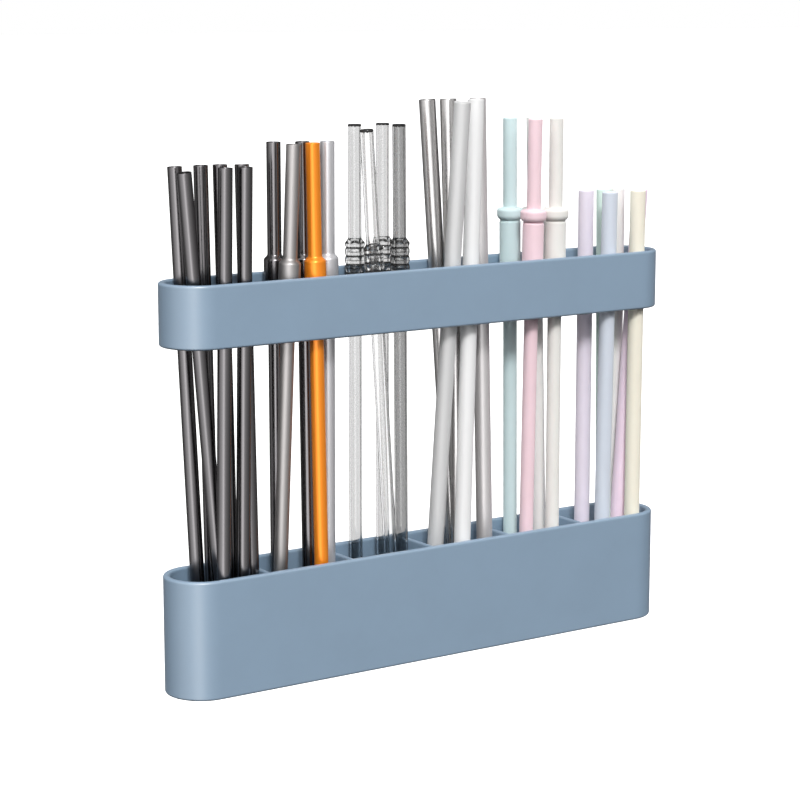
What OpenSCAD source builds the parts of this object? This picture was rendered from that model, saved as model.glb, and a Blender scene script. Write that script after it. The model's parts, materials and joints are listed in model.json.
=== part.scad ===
// Wall-held straw holder: an oval trough with six pockets that the straws stand in, an open oval ring
// above it that they lean in, and the straws themselves, each one a piece that lifts out along its own
// axis. +X runs along the holder, +Y points to the wall and +Z up. The origin is the middle of the
// trough's wall pad, on the wall.

/* [Shells] */
// Length of the trough and of the ring
shell_length = 254; // [220:1:320]
// Depth of the trough and of the ring, front to back
shell_depth = 32; // [31:0.5:44]
// Thickness of their walls
wall = 2.8; // [2:0.1:3.2]
// Rounding of the rims' edges
rim_round = 1; // [0.3:0.1:1]

/* [Trough] */
// Height of the trough
trough_height = 50.3; // [35:0.1:80]
// Thickness of the trough's floor
floor_thickness = 2.8; // [2:0.1:5]
// Thickness of a divider
divider_thickness = 2; // [1.5:0.1:2.6]
// How far the dividers end below the rim
divider_drop = 1.7; // [0:0.1:20]

/* [Ring] */
// Height of the ring
ring_height = 26.2; // [15:0.1:30]
// Open height between the trough's rim and the ring
ring_gap = 95.5; // [85:0.5:105]

/* [Wall pads] */
// Thickness of the double-sided pads on the backs
pad_thickness = 1; // [0.5:0.1:2]
// Length of both pads
pad_length = 190; // [100:1:215]
// Height of the trough's pad
trough_pad_height = 34; // [15:1:34]
// Height of the ring's pad
ring_pad_height = 13; // [8:1:13]
// Corner radius of the pads
pad_corner = 3; // [1:0.5:3.5]

/* [Black straws] */
// Length
black_length = 215; // [200:1:240]
// Outer diameter
black_diameter = 6; // [5:0.1:6.2]
// Thickness of the metal
black_wall = 0.5; // [0.3:0.05:1]

/* [Sleeved straws] */
// Length
sleeved_length = 223.5; // [210:0.5:240]
// Outer diameter of the slim tube
sleeved_diameter = 6; // [5:0.1:6.2]
// Thickness of the metal
sleeved_wall = 0.5; // [0.3:0.05:1]
// Diameter of the wide sleeve
sleeve_diameter = 9.15; // [7:0.05:9.3]
// Distance from the foot to the top of the sleeve
sleeve_top = 177; // [165:0.5:190]
// Length of the sleeve
sleeve_length = 26; // [10:0.5:28]
// Length of the sleeve's tapered shoulder
sleeve_shoulder = 2.6; // [1:0.1:6]

/* [Clear straws] */
// Length
clear_length = 229.5; // [215:0.5:240]
// Outer diameter of the plain tube
clear_diameter = 5.75; // [5:0.05:6]
// Thickness of the plastic
clear_wall = 0.7; // [0.4:0.05:1]
// Diameter over the ribs
rib_diameter = 8.6; // [7:0.1:8.7]
// How deep the ribs are cut
rib_depth = 0.55; // [0.2:0.05:0.8]
// Distance between ribs
rib_pitch = 3.6; // [2.5:0.1:5]
// Number of ribs
rib_count = 7; // [4:1:8]
// Distance from the foot to the top of the ribbed sleeve
rib_top = 181; // [170:0.5:190]
// Length of the ribbed sleeve's shoulder
rib_shoulder = 2; // [1:0.1:4]

/* [Steel straws] */
// Length
steel_length = 239.2; // [220:0.2:250]
// Outer diameter
steel_diameter = 7.2; // [6:0.1:7.3]
// Thickness of the metal
steel_wall = 0.6; // [0.3:0.05:1]

/* [Tipped straws] */
// Length
tipped_length = 230; // [215:1:245]
// Outer diameter of the slim tube
tipped_diameter = 6.2; // [5:0.1:6.3]
// Thickness of the silicone
tipped_wall = 1.1; // [0.8:0.1:1.5]
// Diameter of the grip below the collar
grip_diameter = 9.5; // [8:0.1:9.6]
// Length of the grip
grip_length = 35; // [15:0.5:38]
// Diameter of the collar
collar_diameter = 11.6; // [9:0.1:11.7]
// Height of the collar
collar_height = 5.4; // [3:0.1:8]
// Distance from the foot to the top of the collar
collar_top = 190; // [185:0.5:200]

/* [Soft straws] */
// Length
soft_length = 196.2; // [185:0.2:220]
// Outer diameter
soft_diameter = 7; // [6:0.1:7.2]
// Thickness of the silicone
soft_wall = 1.2; // [0.8:0.1:1.8]

/* [Fit] */
// Gap between a straw's foot and the floor of its pocket
foot_gap = 0.3; // [0.1:0.05:1]
// Least gap between a straw and the front or back wall
side_gap = 0.3; // [0.1:0.05:0.6]
// Gap between two straws that stand side by side
straw_gap = 0.6; // [0.6:0.1:1]

/* [Hidden] */
$fn = 96;

// The kinds of straw in their pockets, from the left
POCKETS = ["black", "sleeved", "clear", "steel", "tipped", "soft"];
pocket_count = len(POCKETS);

// How each straw stands: [across, row] at the foot, then [across, row] where it leans in the ring.
// Across counts straw spacings to the right of the pocket's middle, and a row is -1 for a straw that
// stands at the front wall and 1 for one at the back wall.
black_stands = [
    [-0.6, 0.55, -1.4, 0.85],
    [1, 0.3, -1.55, -0.5],
    [0.65, 1, 0.25, 0.95],
    [1.8, 0.7, 1.5, 0.8],
    [-0.35, -0.9, 0.1, -0.9],
    [2.35, -0.45, 2.8, 0.5],
    [1.35, -0.55, 1.55, -0.85]
];
sleeved_stands = [
    [-1, 0.85, -1.15, 0.85],
    [-1.9, -0.05, -1.5, -0.9],
    [1, 0.35, 0.65, 0.3],
    [0.85, -0.85, 0.45, -1],
    [2.3, 0.25, 2.05, -0.1]
];
clear_stands = [
    [-1.15, 1, -1.3, 1],
    [1.2, 0.1, -1.3, -0.9],
    [0.7, 0.65, 0.9, 0.95],
    [2.05, 0.4, 1.4, -0.05]
];
steel_stands = [
    [0.5, 0.75, -0.8, 0.95],
    [-0.15, -0.35, -0.4, 0.2],
    [-1.65, 0.55, -1.45, -0.85],
    [-0.9, -1, -0.05, -0.75],
    [2, 0.15, 1.6, 0.3]
];
tipped_stands = [
    [-1, 0.9, -1.35, 0.95],
    [-1.3, -0.45, -1.15, -0.8],
    [0.8, 0.2, 0.45, 0.6],
    [0.65, -0.75, 0.7, -0.85]
];
soft_stands = [
    [-1.65, 0.2, -1.45, 0.4],
    [-0.2, -0.1, 0, 0.4],
    [-1.05, -0.7, -1.05, -0.95],
    [1.45, 0.85, 1.3, 0.75],
    [1.25, -0.8, 1.15, -0.95],
    [0.8, 0.2, 1.7, -0.25]
];

// Colours of the moulding and of the straws
shell_colour = [0.50, 0.60, 0.69];
pad_colour = [0.88, 0.88, 0.86];
black_colour = [0.16, 0.15, 0.15];
sleeved_colours = [
    [0.15, 0.15, 0.15], [0.55, 0.52, 0.51], [0.20, 0.19, 0.19], [0.95, 0.55, 0.10], [0.78, 0.78, 0.80]
];
clear_colours = [[0.90, 0.90, 0.90], [0.97, 0.97, 0.97], [0.90, 0.90, 0.90], [0.58, 0.58, 0.58]];
steel_colours = [
    [0.55, 0.54, 0.53], [0.50, 0.48, 0.47], [0.80, 0.80, 0.80], [0.93, 0.93, 0.93], [0.66, 0.64, 0.65]
];
tipped_colours = [[0.76, 0.85, 0.86], [0.94, 0.84, 0.87], [0.93, 0.92, 0.92], [0.92, 0.91, 0.89]];
soft_colours = [
    [0.87, 0.84, 0.90], [0.72, 0.82, 0.76], [0.76, 0.80, 0.87],
    [0.93, 0.92, 0.93], [0.95, 0.91, 0.82], [0.93, 0.75, 0.86]
];

// Places of the shells
end_radius = shell_depth / 2;
half_straight = shell_length / 2 - end_radius;
inner_radius = end_radius - wall;
middle_y = -pad_thickness - end_radius;
trough_z = -trough_height / 2;
floor_z = trough_z + floor_thickness;
ring_z = trough_z + trough_height + ring_gap;
lean_z = ring_z + ring_height / 2;
divider_z = trough_z + trough_height - divider_drop;
// One pocket and its divider. Each end pocket is longer by a divider's thickness, as its end is round.
pocket_pitch = (shell_length - 2 * divider_thickness) / pocket_count;
// Share of the way from its foot to where it leans at which a straw passes the dividers' tops
divider_share = (divider_z - floor_z - foot_gap) / (lean_z - floor_z - foot_gap);

// Pieces that merge run this far into each other
overlap = 0.4;
// Lips of the straws are rounded by this share of their wall, so a flat is left between the roundings
lip_share = 0.45;
// Edges of the collar and of the tipped straws' ends
soft_edge = 0.9;
// Groove under the collar
groove_depth = 0.25;
groove_height = 0.7;
// Points on one rib and on a shoulder
rib_steps = 8;
shoulder_steps = 6;

function pocket_x(i) = (i - (pocket_count - 1) / 2) * pocket_pitch;
function pocket_of(kind) = search([kind], POCKETS)[0];

// Whether the side of a pocket that an across points to is the round end of the shells
function at_end(pocket, across) = across < 0 ? pocket == 0 : pocket == pocket_count - 1;

// Room from a pocket's middle to where an axis can stand on that side: by the divider, or in the round end
function side_room(pocket, across, row, diameter) = at_end(pocket, across)
    ? half_straight - abs(pocket_x(pocket)) + (inner_radius - diameter / 2 - side_gap) * sqrt(1 - row * row)
    : pocket_pitch / 2 - divider_thickness / 2 - diameter / 2 - side_gap;

// Spacing of the straws in a pocket: they stand a gap apart, and closer where the pocket's width runs out
function spacing_of(pocket, stands, diameter, wide) = min([
    diameter + straw_gap,
    for (s = stands)
        if (s[0] != 0) side_room(pocket, s[0], s[1], diameter) / abs(s[0]),
    for (s = stands)
        let (top = s[0] + (s[2] - s[0]) * divider_share)
            if (top != 0) side_room(pocket, top, 0, diameter) / abs(top),
    for (s = stands)
        if (at_end(pocket, s[2])) side_room(pocket, s[2], s[3], wide) / abs(s[2])
]);

// Point on the floor where a straw's axis meets its foot, and the point it passes at the ring's mid height
function foot_of(pocket, stand, spacing, diameter) = [
    pocket_x(pocket) + stand[0] * spacing,
    middle_y + stand[1] * (inner_radius - diameter / 2 - side_gap),
    floor_z + foot_gap
];
function lean_of(pocket, stand, spacing, wide) = [
    pocket_x(pocket) + stand[2] * spacing,
    middle_y + stand[3] * (inner_radius - wide / 2 - side_gap),
    lean_z
];

// Stands a straw, drawn upright from the origin, on its foot and leans it to its place in the ring. The
// foot is raised so that its lowest edge clears the floor.
module stand_straw(kind, stands, i, diameter, wide) {
    pocket = pocket_of(kind);
    spacing = spacing_of(pocket, stands, diameter, wide);
    foot = foot_of(pocket, stands[i], spacing, diameter);
    lean = lean_of(pocket, stands[i], spacing, wide) - foot;
    tilt = acos(lean[2] / norm(lean));
    translate(foot + [0, 0, sin(tilt) * diameter / 2])
        rotate([0, tilt, atan2(lean[1], lean[0])])
            children();
}

// A rectangle with its corners rounded, low left corner at the origin
module rounded_rect(width, height, radius) {
    translate([radius, 0]) square([width - 2 * radius, height]);
    translate([0, radius]) square([width, height - 2 * radius]);
    for (x = [radius, width - radius], y = [radius, height - radius])
        translate([x, y]) circle(radius);
}

// Sweeps a wall's section, drawn outwards from the shell's outer face at x = 0, round the oval
module sweep_oval() {
    for (side = [-1, 1])
        translate([side * half_straight, 0, 0])
            rotate([0, 0, side * 90 - 90])
                rotate_extrude(angle = 180, start = -90)
                    translate([end_radius - wall, 0]) children();
    for (turn = [0, 180])
        rotate([0, 0, turn])
            translate([-half_straight, -end_radius + wall, 0])
                rotate([90, 0, 90])
                    linear_extrude(2 * half_straight)
                        mirror([1, 0]) children();
}

// An oval slab between two heights, its edge this far inside the shell's outer face
module oval_slab(inset, height) {
    linear_extrude(height) {
        for (side = [-1, 1])
            translate([side * half_straight, 0]) circle(end_radius - inset);
        translate([-half_straight, -end_radius + inset])
            square([2 * half_straight, 2 * (end_radius - inset)]);
    }
}

// One divider: a plate across the trough with a rounded top edge
module divider() {
    radius = divider_thickness / 2;
    height = divider_z - floor_z + overlap;
    depth = 2 * (inner_radius + overlap);
    translate([0, depth / 2, floor_z - overlap])
        rotate([90, 0, 0])
            linear_extrude(depth) {
                translate([-radius, 0]) square([divider_thickness, height - radius]);
                translate([0, height - radius]) circle(radius);
            }
}

module trough() {
    color(shell_colour)
        translate([0, middle_y, 0]) {
            translate([0, 0, trough_z]) {
                sweep_oval() rounded_rect(wall, trough_height, rim_round);
                oval_slab(wall - overlap, floor_thickness);
                oval_slab(rim_round, rim_round);
            }
            for (i = [1 : pocket_count - 1])
                translate([pocket_x(i) - pocket_pitch / 2, 0, 0]) divider();
        }
}

module upper_ring() {
    color(shell_colour)
        translate([0, middle_y, ring_z])
            sweep_oval() rounded_rect(wall, ring_height, rim_round);
}

// A wall pad, standing on its lower edge, its back on the wall
module wall_pad(height) {
    color(pad_colour)
        translate([-pad_length / 2, 0, 0])
            rotate([90, 0, 0])
                linear_extrude(pad_thickness)
                    rounded_rect(pad_length, height, pad_corner);
}

module trough_wall_pad() {
    translate([0, 0, -trough_pad_height / 2]) wall_pad(trough_pad_height);
}

module ring_wall_pad() {
    translate([0, 0, lean_z - ring_pad_height / 2]) wall_pad(ring_pad_height);
}

// Half section of a plain tube with rounded lips
module tube_section(diameter, thickness, length, lip) {
    translate([diameter / 2 - thickness, 0]) rounded_rect(thickness, length, lip);
}

module black_straw(i) {
    color(black_colour)
        stand_straw("black", black_stands, i, black_diameter, black_diameter)
            rotate_extrude()
                tube_section(black_diameter, black_wall, black_length, lip_share * black_wall);
}

// Points of an S-shaped shoulder from radius a at height z to radius b at height z + height
function shoulder(a, b, z, height) = [
    for (k = [0 : shoulder_steps])
        let (t = k / shoulder_steps)
            [a + (b - a) * (1 - cos(180 * t)) / 2, z + height * t]
];

module sleeved_straw(i) {
    tube = sleeved_diameter / 2;
    core = tube - sleeved_wall / 2;
    color(sleeved_colours[i])
        stand_straw("sleeved", sleeved_stands, i, sleeved_diameter, sleeve_diameter)
            rotate_extrude() {
                tube_section(sleeved_diameter, sleeved_wall, sleeved_length, lip_share * sleeved_wall);
                polygon(concat(
                    [[core, sleeve_top - sleeve_length], [sleeve_diameter / 2, sleeve_top - sleeve_length]],
                    shoulder(sleeve_diameter / 2, tube, sleeve_top - sleeve_shoulder, sleeve_shoulder),
                    [[core, sleeve_top]]
                ));
            }
}

// Outline of the ribs from their lower end up, one cosine wave to a rib
function rib_points(radius, low) = [
    for (k = [0 : rib_count * rib_steps])
        [radius - rib_depth * (1 - cos(360 * k / rib_steps)) / 2, low + rib_pitch * k / rib_steps]
];

module clear_straw(i) {
    tube = clear_diameter / 2;
    core = tube - clear_wall / 2;
    ribs_top = rib_top - rib_shoulder;
    low = ribs_top - rib_count * rib_pitch;
    color(clear_colours[i])
        stand_straw("clear", clear_stands, i, clear_diameter, rib_diameter)
            rotate_extrude() {
                tube_section(clear_diameter, clear_wall, clear_length, lip_share * clear_wall);
                polygon(concat(
                    [[core, low]],
                    rib_points(rib_diameter / 2, low),
                    [[tube, rib_top], [core, rib_top]]
                ));
            }
}

module steel_straw(i) {
    color(steel_colours[i])
        stand_straw("steel", steel_stands, i, steel_diameter, steel_diameter)
            rotate_extrude()
                tube_section(steel_diameter, steel_wall, steel_length, lip_share * steel_wall);
}

module tipped_straw(i) {
    tube = tipped_diameter / 2;
    core = tube - tipped_wall / 2;
    grip = grip_diameter / 2;
    grip_top = collar_top - collar_height;
    color(tipped_colours[i])
        stand_straw("tipped", tipped_stands, i, tipped_diameter, grip_diameter)
            rotate_extrude() {
                tube_section(tipped_diameter, tipped_wall, tipped_length, lip_share * tipped_wall);
                translate([core, grip_top - grip_length])
                    square([grip - core, grip_length - groove_height]);
                translate([core, grip_top - groove_height - overlap])
                    square([grip - groove_depth - core, groove_height + 2 * overlap]);
                translate([core, grip_top])
                    square([collar_diameter / 2 - soft_edge - core, collar_height]);
                translate([core, grip_top])
                    rounded_rect(collar_diameter / 2 - core, collar_height, soft_edge);
            }
}

module soft_straw(i) {
    color(soft_colours[i])
        stand_straw("soft", soft_stands, i, soft_diameter, soft_diameter)
            rotate_extrude()
                tube_section(soft_diameter, soft_wall, soft_length, lip_share * soft_wall);
}

trough();
upper_ring();
trough_wall_pad();
ring_wall_pad();
for (i = [0 : len(black_stands) - 1])
    black_straw(i);
for (i = [0 : len(sleeved_stands) - 1])
    sleeved_straw(i);
for (i = [0 : len(clear_stands) - 1])
    clear_straw(i);
for (i = [0 : len(steel_stands) - 1])
    steel_straw(i);
for (i = [0 : len(tipped_stands) - 1])
    tipped_straw(i);
for (i = [0 : len(soft_stands) - 1])
    soft_straw(i);
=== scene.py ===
"""Dresses the packed straw holder: moulded shells, foam pads, 31 straws, and the stage they are seen on.

It is laid out as an add-on and run as a script. Every size is in metres, in the frame of the packed model:
X runs along the holder, the wall is the plane Y = 0 with the holder in front of it at -Y, and Z is up.
"""

import json
import math

import bmesh
import bpy
from bpy.props import FloatProperty, FloatVectorProperty, IntProperty, PointerProperty
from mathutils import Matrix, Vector


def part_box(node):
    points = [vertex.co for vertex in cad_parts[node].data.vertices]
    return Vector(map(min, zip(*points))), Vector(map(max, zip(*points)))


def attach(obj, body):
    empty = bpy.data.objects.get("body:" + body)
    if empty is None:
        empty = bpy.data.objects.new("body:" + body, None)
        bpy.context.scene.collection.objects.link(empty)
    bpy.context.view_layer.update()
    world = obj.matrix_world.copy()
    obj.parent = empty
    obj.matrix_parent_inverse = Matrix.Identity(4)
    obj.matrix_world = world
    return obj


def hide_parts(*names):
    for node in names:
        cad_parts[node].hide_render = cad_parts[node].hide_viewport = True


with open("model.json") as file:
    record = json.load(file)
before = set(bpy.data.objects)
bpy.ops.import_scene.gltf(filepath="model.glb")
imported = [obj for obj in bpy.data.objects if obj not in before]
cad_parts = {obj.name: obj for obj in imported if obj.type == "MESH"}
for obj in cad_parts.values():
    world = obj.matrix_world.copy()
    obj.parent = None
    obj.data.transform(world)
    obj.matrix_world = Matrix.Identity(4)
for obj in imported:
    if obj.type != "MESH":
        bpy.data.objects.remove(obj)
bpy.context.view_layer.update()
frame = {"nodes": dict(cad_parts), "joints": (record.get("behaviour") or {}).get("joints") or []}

bl_info = {
    "name": "Straw holder",
    "version": (1, 0, 0),
    "blender": (4, 5, 0),
    "location": "3D View > Sidebar > Straw holder",
    "description": "Makes a wall-held straw holder and its straws piece by piece",
    "category": "Add Mesh",
}

MM = 0.001
# Attribute that keeps each point's place on the upright straw
ALONG = "upright_place"
# Points closer than this are joined
WELD = 0.02 * MM
# Radius of the circle that a straw's section is swept round
SEAM = 1.0 * MM
# Shading is broken at edges sharper than this
CREASE = math.radians(35.0)
# How far from arcs and corners lie the extra points that keep long faces flat
PATH_GUARD = 2.0 * MM
SECTION_GUARD = 0.25 * MM
# Steps of a rounded corner, of a shoulder, of one rib, and of a straw all round
CORNER_STEPS = 6
SHOULDER_STEPS = 14
STEPS_PER_RIB = 24.0
STRAW_SEGMENTS = 64
# Rounding of a straw's lips as a share of its wall
LIP_SHARE = 0.45
# Points this close above a straw's lowest one are its foot's rim
FOOT_BAND = 0.05 * MM
# Heights closer than this count as the same
TOUCHING = 1e-7

TROUGH_LOW, TROUGH_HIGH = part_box("trough")
RING_LOW, RING_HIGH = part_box("upper_ring")


def numbered(stem, *slots):
    """Straws of one kind with their slots of the record. A straw's body is named as its node."""
    return [(f"{stem}_{i + 1}", slot) for i, slot in enumerate(slots)]


BLACK_STRAWS = numbered("black_straw", *["black_metal"] * 7)
SLEEVED_STRAWS = numbered(
    "sleeved_straw", "black_metal", "graphite_metal", "black_metal", "orange_metal", "silver_metal"
)
CLEAR_STRAWS = numbered("clear_straw", *["clear_plastic"] * 3, "smoke_plastic")
STEEL_STRAWS = numbered("steel_straw", *["dark_steel"] * 2, *["bright_steel"] * 3)
TIPPED_COLOURS = ("teal", "pink", "white", "ivory")
TIPPED_STRAWS = numbered("tipped_straw", *["silicone_" + colour for colour in TIPPED_COLOURS])
SOFT_COLOURS = ("lavender", "mint", "blue", "white", "cream", "magenta")
SOFT_STRAWS = numbered("soft_straw", *["silicone_" + colour for colour in SOFT_COLOURS])
# Straws whose finish differs from that of the others in their slot
OWN_FINISH = {
    "clear_straw_2": "white_clear",
    "steel_straw_3": "satin_steel",
    "steel_straw_4": "pale_steel",
}


# ---- Properties


def size_property(label, description, default):
    return FloatProperty(
        name=label, description=description, default=default, min=0.0, unit="LENGTH", precision=5
    )


def colour_property(label, description, default):
    return FloatVectorProperty(
        name=label, description=description, default=default, size=3, min=0.0, max=1.0, subtype="COLOR"
    )


class ShellSizes(bpy.types.PropertyGroup):
    """Sizes of the trough and the ring"""

    length: size_property("Length", "Length of both shells", TROUGH_HIGH.x - TROUGH_LOW.x)
    depth: size_property("Depth", "Depth of both shells", TROUGH_HIGH.y - TROUGH_LOW.y)
    wall: size_property("Wall", "Thickness of their walls", 2.8 * MM)
    rim_round: size_property("Rim rounding", "Rounding of the rims' edges", 1.0 * MM)
    floor_thickness: size_property("Floor", "Thickness of the trough's floor", 2.8 * MM)
    floor_round: size_property("Floor rounding", "Rounding between floor and wall", 1.2 * MM)
    divider_thickness: size_property("Divider", "Thickness of a divider", 2.0 * MM)
    divider_drop: size_property("Divider drop", "How far the dividers end below the rim", 1.7 * MM)
    pockets: IntProperty(name="Pockets", description="Number of pockets", default=6, min=1)
    arc_steps: IntProperty(name="Arc steps", description="Points round each end", default=49, min=9)


class BlackStrawSizes(bpy.types.PropertyGroup):
    """Sizes of the plain black straws"""

    diameter: size_property("Diameter", "Outer diameter", 6.0 * MM)
    wall: size_property("Wall", "Thickness of the metal", 0.5 * MM)


class SleevedStrawSizes(bpy.types.PropertyGroup):
    """Sizes of the straws with a smooth sleeve"""

    diameter: size_property("Diameter", "Outer diameter of the slim tube", 6.0 * MM)
    wall: size_property("Wall", "Thickness of the metal", 0.5 * MM)
    sleeve_diameter: size_property("Sleeve", "Diameter of the sleeve", 9.15 * MM)
    sleeve_top: size_property("Sleeve top", "From the foot to the sleeve's top", 177.0 * MM)
    sleeve_length: size_property("Sleeve length", "Length of the sleeve", 26.0 * MM)
    shoulder: size_property("Shoulder", "Length of the tapered shoulder", 2.6 * MM)


class ClearStrawSizes(bpy.types.PropertyGroup):
    """Sizes of the clear straws with a ribbed sleeve"""

    diameter: size_property("Diameter", "Outer diameter of the plain tube", 5.75 * MM)
    wall: size_property("Wall", "Thickness of the plastic", 0.7 * MM)
    rib_diameter: size_property("Rib diameter", "Diameter over the ribs", 8.6 * MM)
    rib_depth: size_property("Rib depth", "How deep the ribs are cut", 0.55 * MM)
    rib_pitch: size_property("Rib pitch", "Distance between ribs", 3.6 * MM)
    rib_count: IntProperty(name="Ribs", description="Number of ribs", default=7, min=1)
    rib_top: size_property("Rib top", "From the foot to the ribbed sleeve's top", 181.0 * MM)
    shoulder: size_property("Shoulder", "Length of the sleeve's shoulder", 2.0 * MM)


class SteelStrawSizes(bpy.types.PropertyGroup):
    """Sizes of the wide steel straws"""

    diameter: size_property("Diameter", "Outer diameter", 7.2 * MM)
    wall: size_property("Wall", "Thickness of the metal", 0.6 * MM)


class TippedStrawSizes(bpy.types.PropertyGroup):
    """Sizes of the silicone straws with a collar and a grip"""

    diameter: size_property("Diameter", "Outer diameter of the slim tube", 6.2 * MM)
    wall: size_property("Wall", "Thickness of the silicone", 1.1 * MM)
    grip_diameter: size_property("Grip", "Diameter of the grip", 9.5 * MM)
    grip_length: size_property("Grip length", "Length of the grip", 35.0 * MM)
    collar_diameter: size_property("Collar", "Diameter of the collar", 11.6 * MM)
    collar_height: size_property("Collar height", "Height of the collar", 5.4 * MM)
    collar_top: size_property("Collar top", "From the foot to the collar's top", 190.0 * MM)
    collar_round: size_property("Collar rounding", "Rounding of the collar's upper edge", 1.3 * MM)
    collar_taper: size_property("Collar taper", "Rounding of the collar's lower edge", 2.4 * MM)
    groove_depth: size_property("Groove depth", "Depth of the groove under the collar", 0.25 * MM)
    groove_height: size_property("Groove height", "Height of that groove", 0.7 * MM)


class SoftStrawSizes(bpy.types.PropertyGroup):
    """Sizes of the short wide silicone straws"""

    diameter: size_property("Diameter", "Outer diameter", 7.0 * MM)
    wall: size_property("Wall", "Thickness of the silicone", 1.2 * MM)


class FinishColours(bpy.types.PropertyGroup):
    """Colours of the pieces, in linear light"""

    shell: colour_property("Shell", "Moulded plastic of the trough and the ring", (0.218, 0.318, 0.432))
    wall_pad: colour_property("Wall pad", "Foam of the wall pads", (0.76, 0.76, 0.73))
    black_metal: colour_property("Black", "Black coated metal", (0.146, 0.14, 0.144))
    graphite_metal: colour_property("Graphite", "Warm grey coated metal", (0.34, 0.325, 0.32))
    orange_metal: colour_property("Orange", "Orange coated metal", (0.95, 0.275, 0.016))
    silver_metal: colour_property("Silver", "Pale brushed metal", (0.58, 0.58, 0.60))
    dark_steel: colour_property("Dark steel", "Darker bare steel", (0.48, 0.47, 0.465))
    satin_steel: colour_property("Satin steel", "Blasted steel", (0.64, 0.64, 0.64))
    pale_steel: colour_property("Pale steel", "Pale blasted steel", (0.80, 0.80, 0.80))
    bright_steel: colour_property("Bright steel", "Bright bare steel", (0.60, 0.58, 0.58))
    clear_plastic: colour_property("Clear", "Faintly grey clear plastic", (0.775, 0.775, 0.775))
    white_clear: colour_property("White clear", "Clear plastic with no tint", (0.99, 0.99, 0.99))
    smoke_plastic: colour_property("Smoke", "Smoke-grey clear plastic", (0.52, 0.52, 0.52))
    silicone_teal: colour_property("Teal", "Teal silicone", (0.61, 0.76, 0.77))
    silicone_pink: colour_property("Pink", "Pink silicone", (0.871, 0.651, 0.704))
    silicone_white: colour_property("White", "White silicone", (0.809, 0.798, 0.782))
    silicone_ivory: colour_property("Ivory", "Ivory silicone", (0.798, 0.782, 0.745))
    silicone_lavender: colour_property("Lavender", "Lavender silicone", (0.766, 0.704, 0.798))
    silicone_mint: colour_property("Mint", "Mint silicone", (0.672, 0.84, 0.756))
    silicone_blue: colour_property("Blue", "Pale blue silicone", (0.63, 0.677, 0.756))
    silicone_cream: colour_property("Cream", "Cream silicone", (0.871, 0.824, 0.698))
    silicone_magenta: colour_property("Magenta", "Magenta-pink silicone", (0.93, 0.74, 0.88))


class StageSettings(bpy.types.PropertyGroup):
    """Camera, light and floor"""

    camera_place: FloatVectorProperty(
        name="Camera", description="Place of the camera", default=(-0.56406, -0.82850, 0.25922),
        size=3, unit="LENGTH", subtype="TRANSLATION"
    )
    camera_turn: FloatVectorProperty(
        name="Camera turn", description="Turn of the camera", size=3, subtype="EULER",
        default=(math.radians(80.126), 0.0, math.radians(-34.245))
    )
    lens: FloatProperty(name="Lens", description="Focal length in millimetres", default=103.44)
    floor_height: FloatProperty(
        name="Floor", description="Height of the floor below the trough", default=-0.75, unit="LENGTH"
    )
    key_power: FloatProperty(name="Key light", description="Power of the large front light", default=62.0)
    sky_level: FloatProperty(name="Sky", description="Brightness of the sky round the holder", default=2.0)
    panel_level: FloatProperty(name="Panels", description="Brightness of the reflected panels", default=4.0)


class HolderSettings(bpy.types.PropertyGroup):
    """Everything that the operators read"""

    shells: PointerProperty(type=ShellSizes)
    black: PointerProperty(type=BlackStrawSizes)
    sleeved: PointerProperty(type=SleevedStrawSizes)
    clear: PointerProperty(type=ClearStrawSizes)
    steel: PointerProperty(type=SteelStrawSizes)
    tipped: PointerProperty(type=TippedStrawSizes)
    soft: PointerProperty(type=SoftStrawSizes)
    colours: PointerProperty(type=FinishColours)
    stage: PointerProperty(type=StageSettings)


# ---- Node trees as expressions


class Wire:
    """A value in a node tree: arithmetic on it adds Math nodes."""

    def __init__(self, graph, socket):
        self.graph = graph
        self.socket = socket

    def math(self, operation, *others):
        return self.graph.math(operation, self, *others)

    def output(self, name):
        return Wire(self.graph, self.socket.node.outputs[name])

    def __add__(self, other):
        return self.math("ADD", other)

    def __sub__(self, other):
        return self.math("SUBTRACT", other)

    def __rsub__(self, other):
        return self.graph.math("SUBTRACT", other, self)

    def __mul__(self, other):
        return self.math("MULTIPLY", other)

    def __truediv__(self, other):
        return self.math("DIVIDE", other)

    def __gt__(self, other):
        return self.math("GREATER_THAN", other)

    def __lt__(self, other):
        return self.math("LESS_THAN", other)

    __radd__ = __add__
    __rmul__ = __mul__


class Graph:
    """Adds nodes to one tree."""

    def __init__(self, tree):
        self.tree = tree

    def node(self, kind, settings=None, inputs=None, output=0):
        """Adds a node, first its settings, then its sockets' values or links, and returns one output."""
        node = self.tree.nodes.new(kind)
        for name, value in (settings or {}).items():
            if name == "stops":
                self.fill_ramp(node.color_ramp, value)
            else:
                setattr(node, name, value)
        for key, value in (inputs or {}).items():
            if isinstance(value, Wire):
                self.tree.links.new(value.socket, node.inputs[key])
            else:
                node.inputs[key].default_value = value
        return Wire(self, node.outputs[output])

    def fill_ramp(self, ramp, stops):
        while len(ramp.elements) < len(stops):
            ramp.elements.new(1.0)
        for element, (place, level) in zip(ramp.elements, stops):
            element.position = place
            element.color = (level, level, level, 1.0)

    def math(self, operation, *values):
        return self.node("ShaderNodeMath", {"operation": operation}, dict(enumerate(values)))

    def vector_math(self, operation, *values):
        return self.node("ShaderNodeVectorMath", {"operation": operation}, dict(enumerate(values)))

    def between(self, value, low, high, first, last):
        """Goes smoothly from one number to another while the value goes from low to high."""
        return self.node(
            "ShaderNodeMapRange",
            {"interpolation_type": "SMOOTHSTEP"},
            {"Value": value, "From Min": low, "From Max": high, "To Min": first, "To Max": last},
            "Result",
        )

    def combine(self, x, y, z):
        return self.node("ShaderNodeCombineXYZ", {}, {"X": x, "Y": y, "Z": z})

    def separate(self, vector):
        first = self.node("ShaderNodeSeparateXYZ", {}, {"Vector": vector})
        return first, first.output("Y"), first.output("Z")


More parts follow.
